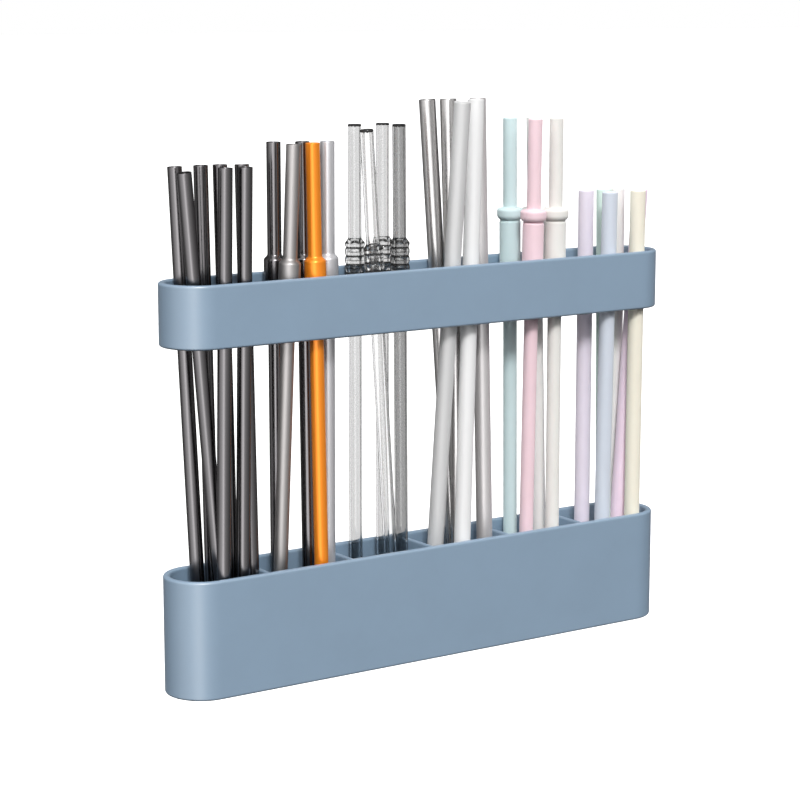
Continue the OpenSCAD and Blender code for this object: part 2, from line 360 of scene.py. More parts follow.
class FormTree(Graph):
    """A Geometry Nodes tree with named inputs, which ends in Realize Instances and Set Material."""

    def __init__(self, name, inputs):
        super().__init__(bpy.data.node_groups.new(name, "GeometryNodeTree"))
        face = self.tree.interface
        face.new_socket("Section", in_out="INPUT", socket_type="NodeSocketGeometry")
        for label, kind in inputs.items():
            face.new_socket(label, in_out="INPUT", socket_type="NodeSocket" + kind)
        face.new_socket("Finish", in_out="INPUT", socket_type="NodeSocketMaterial")
        face.new_socket("Geometry", in_out="OUTPUT", socket_type="NodeSocketGeometry")
        self.entry = self.tree.nodes.new("NodeGroupInput")

    def given(self, label):
        return Wire(self, self.entry.outputs[label])

    def geometry(self, kind, settings=None, inputs=None):
        return self.node("GeometryNode" + kind, settings, inputs)

    def creased(self, mesh):
        """Smooth shading that stops at every sharp edge."""
        angle = self.geometry("InputMeshEdgeAngle")
        return self.geometry(
            "SetShadeSmooth",
            {"domain": "EDGE"},
            {"Geometry": mesh, "Selection": angle > CREASE, "Shade Smooth": False},
        )

    def placed(self, geometry):
        return self.geometry("Transform", {}, {"Geometry": geometry, "Translation": self.given("Place")})

    def finish(self, geometry):
        real = self.geometry("RealizeInstances", {}, {"Geometry": geometry})
        painted = self.geometry("SetMaterial", {}, {"Geometry": real, "Material": self.given("Finish")})
        end = self.tree.nodes.new("NodeGroupOutput")
        self.tree.links.new(painted.socket, end.inputs["Geometry"])
        return self.tree

    def oval_path(self, length, radius, steps):
        """The oval line of a shell, two arcs joined by straights, with a guard point beside each arc."""
        points = steps + 2
        line = self.geometry("CurvePrimitiveCircle", {"mode": "RADIUS"}, {"Resolution": points * 2})
        index = self.node("GeometryNodeInputIndex")
        left = index > points - 0.5
        step = index - left * points - 1.0
        turn = self.node(
            "ShaderNodeMath", {"operation": "DIVIDE", "use_clamp": True}, {0: step, 1: steps - 1.0}
        )
        angle = (turn - 0.5 + left) * math.pi
        beside = (step < -0.5) + (step > steps - 0.5)
        sign = 1.0 - left * 2.0
        x = angle.math("COSINE") * radius + sign * (length / 2.0 - radius - beside * PATH_GUARD)
        y = angle.math("SINE") * radius
        place = self.combine(x, y, 0.0)
        return self.geometry("SetPosition", {}, {"Geometry": line, "Position": place})


def form_inputs(tree):
    items = tree.interface.items_tree
    return {i.name: i.identifier for i in items if i.item_type == "SOCKET" and i.in_out == "INPUT"}


def grow(name, tree, section, values):
    """Runs a form tree on a section's mesh and keeps the result as one plain mesh object."""
    piece = bpy.data.objects.new(name, section)
    bpy.context.scene.collection.objects.link(piece)
    form = piece.modifiers.new("Form", "NODES")
    form.node_group = tree
    sockets = form_inputs(tree)
    for label, value in values.items():
        form[sockets[label]] = value
    graph = bpy.context.evaluated_depsgraph_get()
    mesh = bpy.data.meshes.new_from_object(
        piece.evaluated_get(graph), preserve_all_data_layers=True, depsgraph=graph
    )
    piece.modifiers.remove(form)
    piece.data = mesh
    mesh.name = name
    if signed_volume(mesh) <= 0.0:
        raise RuntimeError(f"{name} has its faces turned inwards")
    return piece


def signed_volume(mesh):
    """Volume that the faces of a closed mesh enclose, below zero where they point inwards."""
    shape = bmesh.new()
    shape.from_mesh(mesh)
    volume = shape.calc_volume(signed=True)
    shape.free()
    return volume


# ---- Sections


def guarded(outline, closed):
    """Adds a point close to both ends of every long edge, so that smooth shading leaves its middle flat."""
    count = len(outline)
    fine = []
    for i, (x, y) in enumerate(outline):
        fine.append((x, y))
        if i == count - 1 and not closed:
            continue
        next_x, next_y = outline[(i + 1) % count]
        length = math.hypot(next_x - x, next_y - y)
        if length > 4.0 * SECTION_GUARD:
            step_x = (next_x - x) * SECTION_GUARD / length
            step_y = (next_y - y) * SECTION_GUARD / length
            fine.append((x + step_x, y + step_y))
            fine.append((next_x - step_x, next_y - step_y))
    return fine


def rounded(corners, closed=True):
    """Rounds each corner (x, y, radius) of an outline."""
    count = len(corners)
    outline = []
    for i, (x, y, radius) in enumerate(corners):
        at = Vector((x, y))
        if radius == 0.0 or (not closed and i in (0, count - 1)):
            outline.append(tuple(at))
            continue
        back = Vector(corners[i - 1][:2]) - at
        ahead = Vector(corners[(i + 1) % count][:2]) - at
        half = back.angle(ahead) / 2.0
        reach = radius / math.tan(half)
        middle = at + (back.normalized() + ahead.normalized()).normalized() * (radius / math.sin(half))
        first = at + back.normalized() * reach
        last = at + ahead.normalized() * reach
        start = math.atan2(first.y - middle.y, first.x - middle.x)
        sweep = math.atan2(last.y - middle.y, last.x - middle.x) - start
        sweep = (sweep + math.pi) % (2.0 * math.pi) - math.pi
        for k in range(CORNER_STEPS + 1):
            angle = start + sweep * k / CORNER_STEPS
            outline.append((middle.x + math.cos(angle) * radius, middle.y + math.sin(angle) * radius))
    return guarded(outline, closed)


def section_mesh(name, outline, closed=True):
    """An outline as a mesh of edges in the XY plane."""
    count = len(outline)
    edges = [(i, (i + 1) % count) for i in range(count if closed else count - 1)]
    mesh = bpy.data.meshes.new(name)
    mesh.from_pydata([(x, y, 0.0) for x, y in outline], edges, [])
    return mesh


# ---- Form trees


SHELL_INPUTS = {"Length": "Float", "Depth": "Float", "Wall": "Float", "Arc steps": "Int", "Place": "Vector"}
# Rounding of a divider's edges as a share of its thickness, and the steps of that rounding
DIVIDER_ROUND = 0.49
DIVIDER_ROUND_STEPS = 8
# How far a divider ends inside the shell's outer face, as a share of the wall
DIVIDER_SHORT = 0.6
# Below 1 it makes broad ribs with narrow grooves between them
RIB_POWER = 0.6


def swept_oval(tree):
    """The section swept round the oval. The section's X runs outwards from the wall's middle."""
    wall = tree.given("Wall")
    radius = tree.given("Depth") / 2.0 - wall / 2.0
    section = tree.geometry("MeshToCurve", {}, {"Mesh": tree.given("Section")})
    path = tree.oval_path(tree.given("Length") - wall, radius, tree.given("Arc steps"))
    return tree.geometry("CurveToMesh", {}, {"Curve": path, "Profile Curve": section})


def oval_sweep_tree():
    """Sweeps a closed section round the oval."""
    tree = FormTree("Oval sweep", SHELL_INPUTS)
    return tree.finish(tree.placed(swept_oval(tree)))


def trough_tree():
    """Sweeps half of a cup's section round the oval, closes it along the middle, and adds the dividers."""
    tree = FormTree(
        "Trough",
        {
            **SHELL_INPUTS,
            "Divider thickness": "Float",
            "Divider foot": "Float",
            "Divider height": "Float",
            "Divider count": "Int",
            "Pitch": "Float",
        },
    )
    cup = tree.geometry("MergeByDistance", {}, {"Geometry": swept_oval(tree), "Distance": WELD})

    thickness = tree.given("Divider thickness")
    height = tree.given("Divider height")
    edge = tree.geometry(
        "CurvePrimitiveQuadrilateral", {"mode": "RECTANGLE"}, {"Width": thickness, "Height": height}
    )
    soft_edge = tree.geometry(
        "FilletCurve",
        {"mode": "POLY"},
        {"Curve": edge, "Count": DIVIDER_ROUND_STEPS, "Radius": thickness * DIVIDER_ROUND},
    )
    span = tree.given("Depth") / 2.0 - tree.given("Wall") * DIVIDER_SHORT
    run = tree.geometry(
        "CurvePrimitiveLine",
        {"mode": "POINTS"},
        {"Start": tree.combine(0.0, span * -1.0, 0.0), "End": tree.combine(0.0, span, 0.0)},
    )
    plate = tree.geometry(
        "CurveToMesh", {}, {"Curve": run, "Profile Curve": soft_edge, "Fill Caps": True}
    )
    count = tree.given("Divider count")
    pitch = tree.given("Pitch")
    low = tree.combine((count - 1.0) * pitch * -0.5, 0.0, tree.given("Divider foot") + height / 2.0)
    row = tree.geometry(
        "MeshLine",
        {"mode": "OFFSET"},
        {"Count": count, "Start Location": low, "Offset": tree.combine(pitch, 0.0, 0.0)},
    )
    plates = tree.geometry("InstanceOnPoints", {}, {"Points": row, "Instance": plate})
    dividers = tree.geometry("RealizeInstances", {}, {"Geometry": plates})
    joined = tree.geometry("MeshBoolean", {"operation": "UNION", "solver": "MANIFOLD"}, {"Mesh 2": cup})
    tree.tree.links.new(dividers.socket, joined.socket.node.inputs["Mesh 2"])
    return tree.finish(tree.placed(tree.creased(joined)))


# The rib sizes of a straw that has no ribs
NO_RIBS = {"Rib root": 1.0, "Rib depth": 0.0, "Rib pitch": 1.0, "Ribs from": 0.0, "Ribs to": 0.0}


def turned_tube_tree():
    """Turns a closed half section, drawn as radius and height, round its axis and leans it into place."""
    if "Turned tube" in bpy.data.node_groups:
        return bpy.data.node_groups["Turned tube"]
    rib_inputs = dict.fromkeys(NO_RIBS, "Float")
    tree = FormTree("Turned tube", {"Segments": "Int", "Foot": "Vector", "Axis": "Vector", **rib_inputs})
    section = tree.geometry("MeshToCurve", {}, {"Mesh": tree.given("Section")})
    radius, height, _ = tree.separate(tree.node("GeometryNodeInputPosition"))
    rise = (height - tree.given("Ribs from")) / tree.given("Rib pitch")
    wave = 1.0 - (rise * math.pi).math("COSINE").math("ABSOLUTE").math("POWER", RIB_POWER)
    on_ribs = (rise > 0.0) * (height < tree.given("Ribs to")) * (radius > tree.given("Rib root"))
    ribbed = radius - wave * on_ribs * tree.given("Rib depth")
    flipped = tree.combine(ribbed - SEAM, height * -1.0, 0.0)
    half = tree.geometry("SetPosition", {}, {"Geometry": section, "Position": flipped})
    circle = tree.geometry(
        "CurvePrimitiveCircle", {"mode": "RADIUS"}, {"Resolution": tree.given("Segments"), "Radius": SEAM}
    )
    turned = tree.creased(tree.geometry("CurveToMesh", {}, {"Curve": circle, "Profile Curve": half}))
    kept = tree.geometry(
        "StoreNamedAttribute",
        {"data_type": "FLOAT_VECTOR", "domain": "POINT"},
        {"Geometry": turned, "Name": ALONG, "Value": tree.node("GeometryNodeInputPosition")},
    )
    lean = tree.node("FunctionNodeAlignRotationToVector", {"axis": "Z"}, {"Vector": tree.given("Axis")})
    stood = tree.geometry(
        "Transform", {}, {"Geometry": kept, "Translation": tree.given("Foot"), "Rotation": lean}
    )
    return tree.finish(stood)


# ---- Finishes


# Darkest and lightest shade of a colour as it varies over a piece
DARK_SHADE = 0.88
LIGHT_SHADE = 1.08


class Finish(Graph):
    """A material as expressions, which end in one shader."""

    def __init__(self, name):
        material = bpy.data.materials.new(name)
        material.use_nodes = True
        material.node_tree.nodes.clear()
        super().__init__(material.node_tree)
        self.material = material

    def object_place(self):
        return self.node("ShaderNodeTexCoord", {}, {}, "Object")

    def tube_place(self):
        """Place on an upright straw, with Z along it, whatever way the straw leans."""
        return self.node("ShaderNodeAttribute", {"attribute_name": ALONG}, {}, "Vector")

    def noise(self, place, scale, detail=2.0, roughness=0.5):
        return self.node(
            "ShaderNodeTexNoise",
            {"noise_dimensions": "3D"},
            {"Vector": place, "Scale": scale, "Detail": detail, "Roughness": roughness},
            "Fac",
        )

    def drawn_noise(self, place, across, along, detail=2.0, roughness=0.5):
        """Noise with a scale of its own along the straw."""
        stretched = self.vector_math("MULTIPLY", place, (across, across, along))
        return self.noise(stretched, 1.0, detail, roughness)

    def shade(self, colour, factor):
        """The colour made lighter or darker by a factor that changes over the surface."""
        return self.node(
            "ShaderNodeMix",
            {"data_type": "RGBA", "blend_type": "MIX"},
            {0: factor, 6: scaled(colour, DARK_SHADE), 7: scaled(colour, LIGHT_SHADE)},
            2,
        )

    def bump(self, height, distance, strength):
        return self.node(
            "ShaderNodeBump", {}, {"Height": height, "Distance": distance, "Strength": strength}
        )

    def principled(self, inputs):
        return self.node("ShaderNodeBsdfPrincipled", {}, inputs, "BSDF")

    def finish(self, shader):
        end = self.tree.nodes.new("ShaderNodeOutputMaterial")
        self.tree.links.new(shader.socket, end.inputs["Surface"])
        return self.material

    def skin(self, inputs):
        """Ends the material in one shader with these inputs."""
        return self.finish(self.principled(inputs))


def scaled(colour, factor):
    return tuple(min(1.0, c * factor) for c in colour[:3]) + (1.0,)


def moulded_plastic(colour):
    """Satin moulding: a fine grain, faint flow clouds and worn patches a little glossier than the rest."""
    paint = Finish("moulded_plastic")
    place = paint.object_place()
    clouds = paint.noise(place, scale=38.0, detail=3.0)
    grain = paint.noise(place, scale=2600.0, roughness=0.6)
    polish = paint.noise(place, scale=120.0, detail=4.0, roughness=0.65)
    return paint.skin(
        {
            "Base Color": paint.shade(colour, clouds * 0.5 + polish * 0.3 + 0.08),
            "Roughness": polish * 0.10 + grain * 0.05 + 0.30,
            "IOR": 1.5,
            "Specular IOR Level": 0.9,
            "Specular Tint": (1.0, 0.86, 0.66, 1.0),
            "Coat Weight": 0.8,
            "Coat Roughness": 0.36,
            "Normal": paint.bump(grain, distance=0.012 * MM, strength=0.6),
        }
    )


def pad_foam(colour):
    """Closed-cell foam tape: small cells all over and a faint mottle."""
    paint = Finish("pad_foam")
    place = paint.object_place()
    cells = paint.node(
        "ShaderNodeTexVoronoi", {"feature": "F1"}, {"Vector": place, "Scale": 1400.0}, "Distance"
    )
    mottle = paint.noise(place, scale=90.0, detail=3.0)
    return paint.skin(
        {
            "Base Color": paint.shade(colour, mottle * 0.6 + cells * 0.4),
            "Roughness": mottle * 0.1 + 0.78,
            "Normal": paint.bump(cells, distance=0.08 * MM, strength=0.7),
        }
    )


def drawn_metal(name, colour, roughness, streak, metallic):
    """Drawn tube: fine lines along it that change its gloss and its tone, and a few cross rubs."""
    paint = Finish(name)
    place = paint.tube_place()
    lines = paint.drawn_noise(place, across=1500.0, along=9.0, detail=3.0, roughness=0.6)
    bands = paint.drawn_noise(place, across=420.0, along=5.0)
    smudges = paint.drawn_noise(place, across=160.0, along=60.0, detail=3.0)
    return paint.skin(
        {
            "Base Color": paint.shade(colour, lines * 0.3 + bands * streak + 0.35 - 0.5 * streak),
            "Metallic": metallic,
            "Roughness": lines * 0.06 + smudges * 0.08 + (roughness - 0.07),
            "Normal": paint.bump(lines, distance=0.002 * MM, strength=0.4),
        }
    )


def clear_tube(name, colour, sizes):
    """Clear moulded plastic with light rubs, mixed with a near-black shader as painted shade: where the
    surface slants away, in the grooves between the ribs, as a thin line along the top of each rib, and in a
    jagged band at the cut end."""
    paint = Finish(name)
    place = paint.tube_place()
    rubs = paint.drawn_noise(place, across=320.0, along=14.0, detail=3.0)
    jagged = paint.noise(place, scale=1300.0, roughness=0.6)
    clear = paint.principled(
        {
            "Base Color": paint.shade(colour, rubs * 0.3 + 0.45),
            "Roughness": rubs * 0.03 + 0.01,
            "IOR": 1.49,
            "Transmission Weight": 1.0,
            "Normal": paint.bump(rubs, distance=0.01 * MM, strength=0.05),
        }
    )
    # Near-black shader that is mixed in as painted shade
    dark = paint.principled(
        {"Base Color": scaled(colour, 0.03), "Roughness": 0.5, "Specular IOR Level": 0.15}
    )
    # Painted shade where the surface slants away, as at the tube's sides
    slant = paint.node("ShaderNodeLayerWeight", {}, {"Blend": 0.5}, "Facing")
    edge = paint.between(slant, low=0.46, high=0.86, first=0.0, last=0.8)
    height = paint.separate(place)[2]
    ribs_from, ribs_to = rib_span(sizes)
    turn = (height - ribs_from) * (math.pi / sizes.rib_pitch)
    beads = turn.math("COSINE").math("ABSOLUTE")
    crests = turn.math("SINE").math("ABSOLUTE")
    # Painted shade in the grooves between the ribs, and a thinner painted dark line along the top of each
    # rib
    groove = paint.between(beads, low=0.16, high=0.58, first=1.0, last=0.0)
    painted_crest_line = paint.between(crests, low=0.06, high=0.26, first=0.5, last=0.0)
    on_ribs = (height > ribs_from) * (height < ribs_to) * (jagged * 1.1 + 0.4)
    top = straw_stand(CLEAR_STRAWS[0][0])[2]
    # Painted shade in a jagged band at the cut end
    rim = height > top - jagged * 1.6 * MM
    # How much of the painted shade is mixed in at each point
    share = edge.math("MAXIMUM", groove.math("MAXIMUM", painted_crest_line) * on_ribs).math("MAXIMUM", rim)
    return paint.finish(paint.node("ShaderNodeMixShader", {}, {0: share, 1: clear, 2: dark}))


def rib_span(sizes):
    """Heights between which a clear straw is ribbed, from its foot."""
    ribs_to = sizes.rib_top - sizes.shoulder
    return ribs_to - sizes.rib_count * sizes.rib_pitch, ribs_to


def silicone(name, colour):
    """Matte silicone: a dusty skin, faint cloudiness and a fine tooth."""
    paint = Finish(name)
    place = paint.tube_place()
    clouds = paint.noise(place, scale=60.0, detail=3.0)
    tooth = paint.noise(place, scale=3200.0, roughness=0.6)
    dust = paint.drawn_noise(place, across=260.0, along=120.0, detail=4.0, roughness=0.65)
    return paint.skin(
        {
            "Base Color": paint.shade(colour, clouds * 0.4 + dust * 0.4 + 0.1),
            "Roughness": dust * 0.14 + 0.46,
            "IOR": 1.41,
            "Subsurface Weight": 0.12,
            "Subsurface Radius": (1.0, 0.8, 0.7),
            "Subsurface Scale": 0.8 * MM,
            "Sheen Weight": 0.12,
            "Sheen Roughness": 0.5,
            "Normal": paint.bump(tooth, distance=0.01 * MM, strength=0.5),
        }
    )


# Roughness, how much the streaks show, and how metallic the skin is
METALS = {
    "black_metal": (0.24, 0.25, 1.0),
    "graphite_metal": (0.50, 0.25, 1.0),
    "orange_metal": (0.34, 0.2, 0.4),
    "silver_metal": (0.42, 0.2, 0.6),
    "dark_steel": (0.28, 0.3, 0.9),
    "satin_steel": (0.66, 0.2, 0.3),
    "pale_steel": (0.66, 0.2, 0.12),
    "bright_steel": (0.46, 0.2, 0.5),
}
CLEAR = ("clear_plastic", "white_clear", "smoke_plastic")


def finish_for(kind):
    """The material of a finish, made when a piece first asks for it."""
    name = kind + ".finish"
    if name in bpy.data.materials:
        return bpy.data.materials[name]
    colour = tuple(getattr(settings().colours, kind))
    if kind in METALS:
        return drawn_metal(name, colour, *METALS[kind])
    if kind in CLEAR:
        return clear_tube(name, colour, settings().clear)
    return silicone(name, colour)


# ---- Pieces


def straw_stand(node):
    """Foot, axis and length of a straw, measured on its node's mesh along its joint's axis."""
    joint = next(j for j in frame["joints"] if j["child"] == node)
    axis = Vector(joint["axis"]).normalized()
    points = [v.co for v in frame["nodes"][node].data.vertices]
    heights = [p.dot(axis) for p in points]
    low, high = min(heights), max(heights)
    rim = [p for p, h in zip(points, heights) if h < low + FOOT_BAND]

    def middle(direction):
        reach = [p.dot(direction) for p in rim]
        return direction * ((min(reach) + max(reach)) / 2.0)

    side = axis.orthogonal().normalized()
    return middle(side) + middle(axis.cross(side)) + axis * low, axis, high - low


def tube_outline(sizes, length):
    """Half section of a plain tube with rounded lips, up the bore and down the outside."""
    lip = sizes.wall * LIP_SHARE
    outer = sizes.diameter / 2.0
    bore = outer - sizes.wall
    return [(bore, 0.0, lip), (bore, length, lip), (outer, length, lip), (outer, 0.0, lip)]


def with_steps(outline, low, high, step):
    """Cuts the outer side's long edges into steps between two heights."""
    fine = []
    for i, (x, y) in enumerate(outline):
        fine.append((x, y))
        next_x, next_y = outline[(i + 1) % len(outline)]
        top, bottom = min(y, high), max(next_y, low)
        if next_y >= y or top - bottom < step:
            continue
        count = math.ceil((top - bottom) / step)
        for k in range(count + 1):
            height = top - (top - bottom) * k / count
            if next_y + TOUCHING < height < y - TOUCHING:
                share = (y - height) / (y - next_y)
                fine.append((x + (next_x - x) * share, height))
    return fine


def shoulder_curve(start, end):
    """S-shaped run from one point (radius, height) to another, the ends left out."""
    points = []
    for k in range(1, SHOULDER_STEPS):
        share = k / SHOULDER_STEPS
        ease = (1.0 - math.cos(math.pi * share)) / 2.0
        points.append((start[0] + (end[0] - start[0]) * ease, start[1] + (end[1] - start[1]) * share, 0.0))
    return points


def make_straws(straws, sizes, details=(), ribs=NO_RIBS):
    """Makes the straws of one kind. The details are the corners down the outside between its two ends."""
    tree = turned_tube_tree()
    for node, slot in straws:
        foot, axis, length = straw_stand(node)
        *bore_and_top, end = tube_outline(sizes, length)
        outline = rounded([*bore_and_top, *details, end])
        if ribs is not NO_RIBS:
            step = ribs["Rib pitch"] / STEPS_PER_RIB
            outline = with_steps(outline, ribs["Ribs from"], ribs["Ribs to"], step)
        values = {
            "Segments": STRAW_SEGMENTS,
            "Foot": foot,
            "Axis": axis,
            **ribs,
            "Finish": finish_for(OWN_FINISH.get(node, slot)),
        }
        piece = grow(node + ".form", tree, section_mesh(node, outline), values)
        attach(piece, node)
        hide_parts(node)


def shell_values(low, high):
    """What the trees of both shells are given."""
    sizes = settings().shells
    colour = tuple(settings().colours.shell)
    return {
        "Length": sizes.length,
        "Depth": sizes.depth,
        "Wall": sizes.wall,
        "Arc steps": sizes.arc_steps,
        "Place": ((low.x + high.x) / 2.0, (low.y + high.y) / 2.0, low.z),
        "Finish": bpy.data.materials.get("moulded_plastic") or moulded_plastic(colour),
    }


def make_trough(sizes):
    half = sizes.wall / 2.0
    height = TROUGH_HIGH.z - TROUGH_LOW.z
    middle = half - sizes.depth / 2.0
    # The section's X runs outwards from the wall's middle, and its Y downwards from the trough's foot
    corners = [
        (middle, 0.0, 0.0),
        (half, 0.0, sizes.rim_round),
        (half, height, sizes.rim_round),
        (-half, height, sizes.rim_round),
        (-half, sizes.floor_thickness, sizes.floor_round),
        (middle, sizes.floor_thickness, 0.0),
    ]
    outline = [(x, -y) for x, y in reversed(rounded(corners, closed=False))]
    divider_foot = sizes.floor_thickness / 2.0
    values = {
        **shell_values(TROUGH_LOW, TROUGH_HIGH),
        "Divider thickness": sizes.divider_thickness,
        "Divider foot": divider_foot,
        "Divider height": height - sizes.divider_drop - divider_foot,
        "Divider count": sizes.pockets - 1,
        "Pitch": (sizes.length - 2.0 * sizes.divider_thickness) / sizes.pockets,
    }
    piece = grow("trough.form", trough_tree(), section_mesh("trough", outline, closed=False), values)
    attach(piece, "holder")
    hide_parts("trough")


def make_ring(sizes):
    half = sizes.wall / 2.0
    height = RING_HIGH.z - RING_LOW.z
    corners = [(half, 0.0), (half, height), (-half, height), (-half, 0.0)]
    outline = [(x, -y) for x, y in reversed(rounded([(x, y, sizes.rim_round) for x, y in corners]))]
    values = shell_values(RING_LOW, RING_HIGH)
    piece = grow("upper_ring.form", oval_sweep_tree(), section_mesh("ring", outline), values)
    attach(piece, "holder")
    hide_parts("upper_ring")


def dress_pads():
    """The pads keep their packed solids and get their foam."""
    foam = pad_foam(tuple(settings().colours.wall_pad))
    for node in ("trough_wall_pad", "ring_wall_pad"):
        for slot in frame["nodes"][node].material_slots:
            slot.material = foam


def settings():
    return bpy.context.scene.straw_holder


class STRAWHOLDER_OT_trough(bpy.types.Operator):
    """Makes the trough with its floor and dividers"""

    bl_idname = "straw_holder.trough"
    bl_label = "Trough"

    def execute(self, context):
        make_trough(settings().shells)
        return {"FINISHED"}


class STRAWHOLDER_OT_ring(bpy.types.Operator):
    """Makes the ring that the straws lean in"""

    bl_idname = "straw_holder.ring"
    bl_label = "Ring"

    def execute(self, context):
        make_ring(settings().shells)
        return {"FINISHED"}


class STRAWHOLDER_OT_pads(bpy.types.Operator):
    """Gives the two wall pads their foam"""

    bl_idname = "straw_holder.pads"
    bl_label = "Wall pads"

    def execute(self, context):
        dress_pads()
        return {"FINISHED"}


class STRAWHOLDER_OT_black_straws(bpy.types.Operator):
    """Makes the seven plain black straws"""

    bl_idname = "straw_holder.black_straws"
    bl_label = "Black straws"

    def execute(self, context):
        make_straws(BLACK_STRAWS, settings().black)
        return {"FINISHED"}


class STRAWHOLDER_OT_sleeved_straws(bpy.types.Operator):
    """Makes the five metal straws with a smooth sleeve"""

    bl_idname = "straw_holder.sleeved_straws"
    bl_label = "Sleeved straws"

    def execute(self, context):
        sizes = settings().sleeved
        tube, sleeve = sizes.diameter / 2.0, sizes.sleeve_diameter / 2.0
        shoulder_low = sizes.sleeve_top - sizes.shoulder
        sleeve_low = sizes.sleeve_top - sizes.sleeve_length
        end_round = 0.5 * MM
        details = [
            (tube, sizes.sleeve_top, 0.0),
            *shoulder_curve((tube, sizes.sleeve_top), (sleeve, shoulder_low)),
            (sleeve, shoulder_low, 0.0),
            (sleeve, sleeve_low, end_round),
            (tube, sleeve_low, 0.0),
        ]
        make_straws(SLEEVED_STRAWS, sizes, details)
        return {"FINISHED"}


class STRAWHOLDER_OT_clear_straws(bpy.types.Operator):
    """Makes the four clear straws with a ribbed sleeve"""

    bl_idname = "straw_holder.clear_straws"
    bl_label = "Clear straws"

    def execute(self, context):
        sizes = settings().clear
        tube, rib = sizes.diameter / 2.0, sizes.rib_diameter / 2.0
        ribs_from, ribs_to = rib_span(sizes)
        shoulder_round, end_round, clearance = 0.8 * MM, 0.4 * MM, 0.2 * MM
        ribs = {
            "Rib root": tube + clearance,
            "Rib depth": sizes.rib_depth,
            "Rib pitch": sizes.rib_pitch,
            "Ribs from": ribs_from,
            "Ribs to": ribs_to,
        }
        details = [
            (tube, sizes.rib_top, shoulder_round),
            (rib, ribs_to, 0.0),
            (rib, ribs_from, end_round),
            (tube, ribs_from, 0.0),
        ]
        make_straws(CLEAR_STRAWS, sizes, details, ribs)
        return {"FINISHED"}


class STRAWHOLDER_OT_steel_straws(bpy.types.Operator):
    """Makes the five wide steel straws"""

    bl_idname = "straw_holder.steel_straws"
    bl_label = "Steel straws"

    def execute(self, context):
        make_straws(STEEL_STRAWS, settings().steel)
        return {"FINISHED"}


class STRAWHOLDER_OT_tipped_straws(bpy.types.Operator):
    """Makes the four silicone straws with a collar and a grip"""

    bl_idname = "straw_holder.tipped_straws"
    bl_label = "Tipped straws"

    def execute(self, context):
        sizes = settings().tipped
        tube, grip, collar = sizes.diameter / 2.0, sizes.grip_diameter / 2.0, sizes.collar_diameter / 2.0
        collar_low = sizes.collar_top - sizes.collar_height
        grip_low = collar_low - sizes.grip_length
        groove_low = collar_low - sizes.groove_height
        groove = grip - sizes.groove_depth
        neck_round, groove_round, edge_round = 0.7 * MM, 0.15 * MM, 0.1 * MM
        end_round, heel_round = 1.0 * MM, 0.3 * MM
        details = [
            (tube, sizes.collar_top, neck_round),
            (collar, sizes.collar_top, sizes.collar_round),
            (collar, collar_low, sizes.collar_taper),
            (groove, collar_low, groove_round),
            (groove, groove_low, groove_round),
            (grip, groove_low, edge_round),
            (grip, grip_low, end_round),
            (tube, grip_low, heel_round),
        ]
        make_straws(TIPPED_STRAWS, sizes, details)
        return {"FINISHED"}


class STRAWHOLDER_OT_soft_straws(bpy.types.Operator):
    """Makes the six short wide silicone straws"""

    bl_idname = "straw_holder.soft_straws"
    bl_label = "Soft straws"

    def execute(self, context):
        make_straws(SOFT_STRAWS, settings().soft)
        return {"FINISHED"}


class STRAWHOLDER_OT_stage(bpy.types.Operator):
    """Makes the camera, the light and the floor"""

    bl_idname = "straw_holder.stage"
    bl_label = "Stage"

    def execute(self, context):
        stage = settings().stage
        make_camera(stage)
        make_light(stage)
        make_world(stage)
        make_floor(stage)
        bpy.context.scene.view_settings.view_transform = "Standard"
        return {"FINISHED"}


SENSOR_WIDTH = 36.0
CLIP_START, CLIP_END = 0.01, 200.0
KEY_SIZE = 0.55
KEY_AZIMUTH, KEY_ELEVATION, KEY_DISTANCE = -25.0, 42.0, 3.0
KEY_TARGET = Vector((0.0, -0.017, 0.1))
FLOOR_REACH = 60.0
FLOOR_GLOW = 0.42
# Brightness seen through clear plastic, where the plain backdrop is 1
THROUGH_LEVEL = 1.18


def make_camera(stage):
    camera = bpy.data.objects.new("Camera", bpy.data.cameras.new("Camera"))
    camera.data.lens = stage.lens
    camera.data.sensor_width = SENSOR_WIDTH
    camera.data.clip_start = CLIP_START
    camera.data.clip_end = CLIP_END
    camera.location = stage.camera_place
    camera.rotation_euler = stage.camera_turn
    bpy.context.scene.collection.objects.link(camera)
    bpy.context.scene.camera = camera


# Brightness round the holder as glossy things see it, by degrees: 0 is in front and 90 to the right
GLOSSY_PANELS = [
    (-180, 0.04), (-150, 0.04), (-120, 0.13), (-94, 0.34), (-68, 0.46),
    (-54, 0.64), (-44, 0.9), (-38, 1.0), (-32, 0.8), (-24, 0.45),
    (-8, 0.25), (26, 0.15), (60, 0.07), (90, 0.04), (180, 0.04),
]
# Brightness of the sky as matte things see it, by degrees above the horizon
SKY_BANDS = [
    (-90, 0.02), (-4, 0.03), (10, 0.10), (22, 0.55),
    (32, 1.0), (45, 0.95), (60, 0.55), (90, 0.35),
]


def make_light(stage):
    """A large soft light, turned to the holder. Azimuth 0 is in front and 90 to the right."""
    key = bpy.data.lights.new("Key", "AREA")
    key.shape = "RECTANGLE"
    key.size = KEY_SIZE
    key.size_y = KEY_SIZE
    key.energy = stage.key_power
    turn, rise = math.radians(KEY_AZIMUTH), math.radians(KEY_ELEVATION)
    back = Vector((math.sin(turn) * math.cos(rise), -math.cos(turn) * math.cos(rise), math.sin(rise)))
    lamp = bpy.data.objects.new("Key", key)
    lamp.location = KEY_TARGET + back * KEY_DISTANCE
    lamp.rotation_euler = back.to_track_quat("Z", "Y").to_euler()
    lamp.visible_camera = False
    bpy.context.scene.collection.objects.link(lamp)


